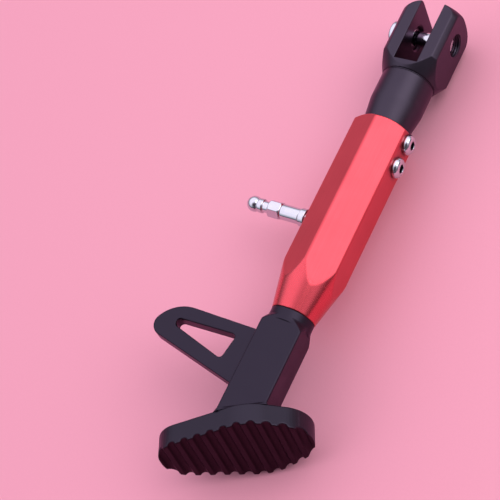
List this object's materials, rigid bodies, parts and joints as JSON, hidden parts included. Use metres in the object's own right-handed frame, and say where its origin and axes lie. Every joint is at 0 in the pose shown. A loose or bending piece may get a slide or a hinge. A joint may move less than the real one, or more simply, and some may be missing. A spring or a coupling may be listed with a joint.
{
  "type": "adjustable motorcycle kickstand",
  "caption": "Adjustable kickstand leg: fork with pivot bolt, red hexagonal clamp sleeve, spring post, square lower bar with kick tab and ribbed foot pad.",
  "frame": {"origin": "centre of the pivot in the fork", "axes": "+X along the pivot bolt towards the tapped ear, +Y up the leg's axis, +Z out of the fork's front"},
  "size_m": [0.0958, 0.2678, 0.0491],
  "materials": {
    "fork_black": "satin black",
    "bolt_chrome": "bright plated",
    "sleeve_red": "red anodised",
    "screw_chrome": "bright plated",
    "post_chrome": "bright plated",
    "set_screw_black": "black oxide",
    "leg_black": "satin black",
    "tab_black": "satin black",
    "weld_black": "satin black",
    "pad_black": "satin black"
  },
  "bodies": {
    "leg": {"sleeve": "sleeve_red", "spigot_set_screw": "set_screw_black", "lower_leg": "leg_black", "kick_tab": "tab_black", "tab_weld": "weld_black", "foot_pad": "pad_black", "foot_weld": "weld_black", "post_stud": "post_chrome", "post_flange": "post_chrome", "post_spacer": "post_chrome", "post_nut": "post_chrome"},
    "fork": {"clevis_stem": "fork_black"},
    "bolt": {"pivot_bolt": "bolt_chrome"},
    "upper_screw": {"clamp_screw_upper": "screw_chrome"},
    "lower_screw": {"clamp_screw_lower": "screw_chrome"}
  },
  "joints": [
    {"name": "length_adjust", "type": "slide", "parent": "leg", "child": "fork", "axis": [0, 1, 0], "range_m": [0, 0.035]},
    {"name": "pivot_bolt_turn", "type": "hinge", "parent": "fork", "child": "bolt", "pos_m": [0, 0, 0], "axis": [1, 0, 0], "continuous": true},
    {"name": "upper_screw_turn", "type": "hinge", "parent": "leg", "child": "upper_screw", "pos_m": [0.0144, -0.0615, 0], "axis": [1, 0, 0], "continuous": true},
    {"name": "lower_screw_turn", "type": "hinge", "parent": "leg", "child": "lower_screw", "pos_m": [0.0144, -0.0753, 0], "axis": [1, 0, 0], "continuous": true}
  ]
}
